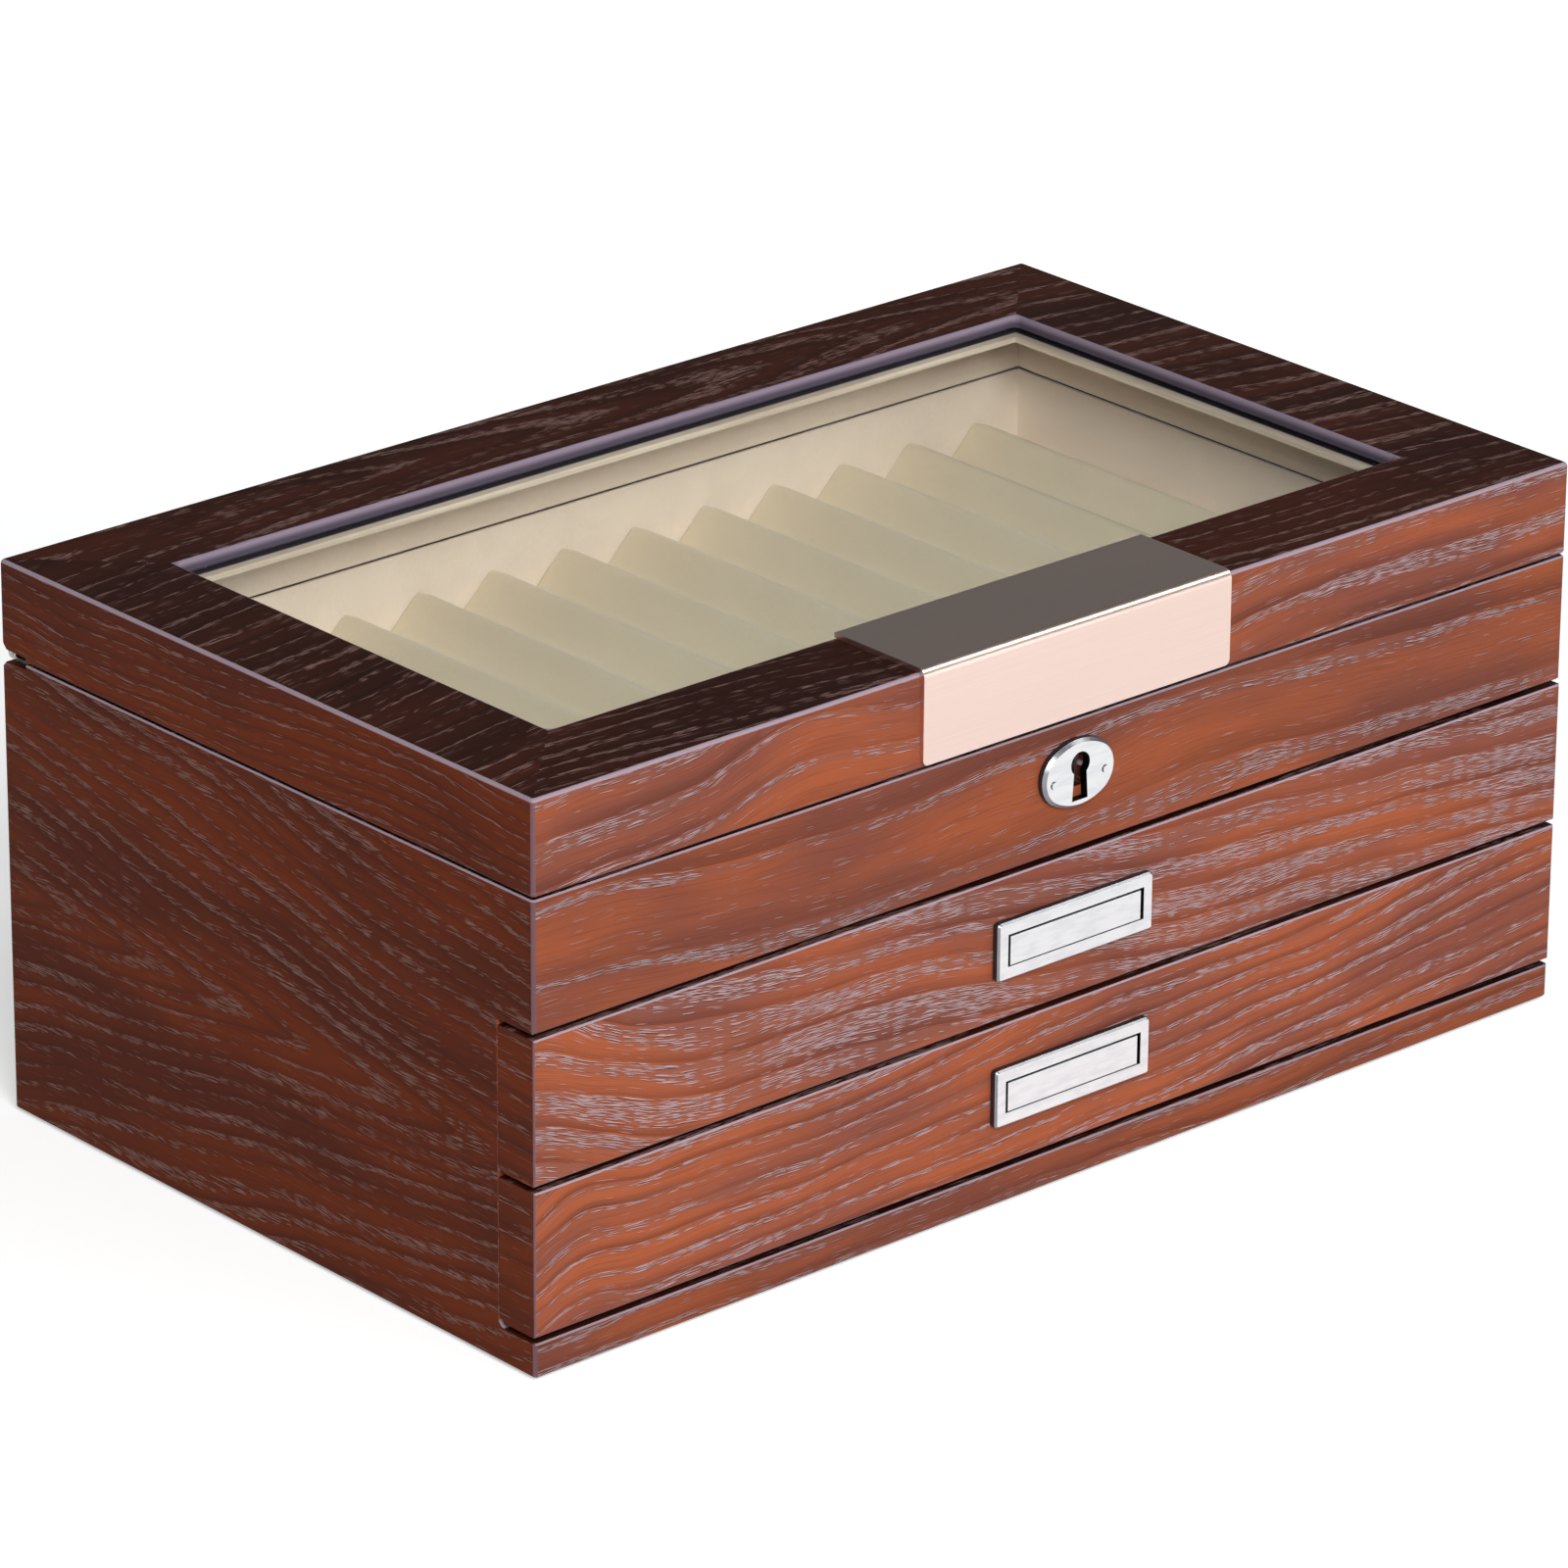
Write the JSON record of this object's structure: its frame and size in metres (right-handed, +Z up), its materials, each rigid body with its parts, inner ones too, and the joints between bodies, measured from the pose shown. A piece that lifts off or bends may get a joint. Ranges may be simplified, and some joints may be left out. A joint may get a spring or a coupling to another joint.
{
  "type": "pen chest",
  "caption": "Low wooden pen chest with a glazed hinged lid over a grooved tray, drawers below with drop pulls, and a keyed lock.",
  "frame": {"origin": "middle of the felt underside that the chest stands on", "axes": "+Z up, front with keyhole and pulls towards -Y, long side along X"},
  "size_m": [0.33, 0.1987, 0.1444],
  "materials": {
    "stained_ash": "satin",
    "inner_wood": "matte",
    "suede": "matte",
    "felt": "matte",
    "stainless": "brushed",
    "polished_chrome": "polished",
    "steel_hardware": "satin",
    "glass": "clear"
  },
  "bodies": {
    "case": {"case_side_left": "stained_ash", "case_side_right": "stained_ash", "case_back": "stained_ash", "front_rail": "stained_ash", "base_rail": "stained_ash", "case_bottom": "inner_wood", "tray_floor": "inner_wood", "drawer_upper_runner_left": "inner_wood", "drawer_upper_runner_right": "inner_wood", "drawer_lower_runner_left": "inner_wood", "drawer_lower_runner_right": "inner_wood", "tray_lining": "suede", "tray_rest_board": "suede", "tray_rest_ridges": "suede", "escutcheon": "polished_chrome", "escutcheon_pins": "polished_chrome", "lock_case": "steel_hardware", "lock_screws": "steel_hardware", "hinge_case_leaf": "steel_hardware", "hinge_pin": "steel_hardware", "hinge_case_screws": "steel_hardware", "base_felt": "felt"},
    "lid": {"lid_rail_left": "stained_ash", "lid_rail_right": "stained_ash", "lid_rail_back": "stained_ash", "lid_rail_front": "stained_ash", "lid_glass": "glass", "lid_glass_beads": "stained_ash", "lid_lining": "suede", "lid_plate": "stainless", "strike_plate": "steel_hardware", "strike_screws": "steel_hardware", "hinge_lid_leaf": "steel_hardware", "hinge_lid_screws": "steel_hardware"},
    "lock_bolt": {"lock_bolt": "steel_hardware"},
    "drawer_upper": {"drawer_upper_front": "stained_ash", "drawer_upper_side_left": "inner_wood", "drawer_upper_side_right": "inner_wood", "drawer_upper_back": "inner_wood", "drawer_upper_bottom": "inner_wood", "drawer_upper_lining": "suede", "drawer_upper_rest_board": "suede", "drawer_upper_rest_ridges": "suede", "drawer_upper_pull_plate": "polished_chrome"},
    "drawer_upper_pull": {"drawer_upper_pull_flap": "polished_chrome"},
    "drawer_lower": {"drawer_lower_front": "stained_ash", "drawer_lower_side_left": "inner_wood", "drawer_lower_side_right": "inner_wood", "drawer_lower_back": "inner_wood", "drawer_lower_bottom": "inner_wood", "drawer_lower_lining": "suede", "drawer_lower_rest_board": "suede", "drawer_lower_rest_ridges": "suede", "drawer_lower_pull_plate": "polished_chrome"},
    "drawer_lower_pull": {"drawer_lower_pull_flap": "polished_chrome"}
  },
  "joints": [
    {"name": "lid_hinge", "type": "hinge", "parent": "case", "child": "lid", "pos_m": [0, 0.0967, 0.1192], "axis": [-1, 0, 0], "range_deg": [0, 95]},
    {"name": "lock_bolt_slide", "type": "slide", "parent": "case", "child": "lock_bolt", "axis": [1, 0, 0], "range_m": [0, 0.004]},
    {"name": "drawer_upper_slide", "type": "slide", "parent": "case", "child": "drawer_upper", "axis": [0, -1, 0], "range_m": [0, 0.14]},
    {"name": "drawer_upper_pull_hinge", "type": "hinge", "parent": "drawer_upper", "child": "drawer_upper_pull", "pos_m": [0, -0.099, 0.06997], "axis": [-1, 0, 0], "range_deg": [0, 90]},
    {"name": "drawer_lower_slide", "type": "slide", "parent": "case", "child": "drawer_lower", "axis": [0, -1, 0], "range_m": [0, 0.14]},
    {"name": "drawer_lower_pull_hinge", "type": "hinge", "parent": "drawer_lower", "child": "drawer_lower_pull", "pos_m": [0, -0.099, 0.03232], "axis": [-1, 0, 0], "range_deg": [0, 90]}
  ]
}
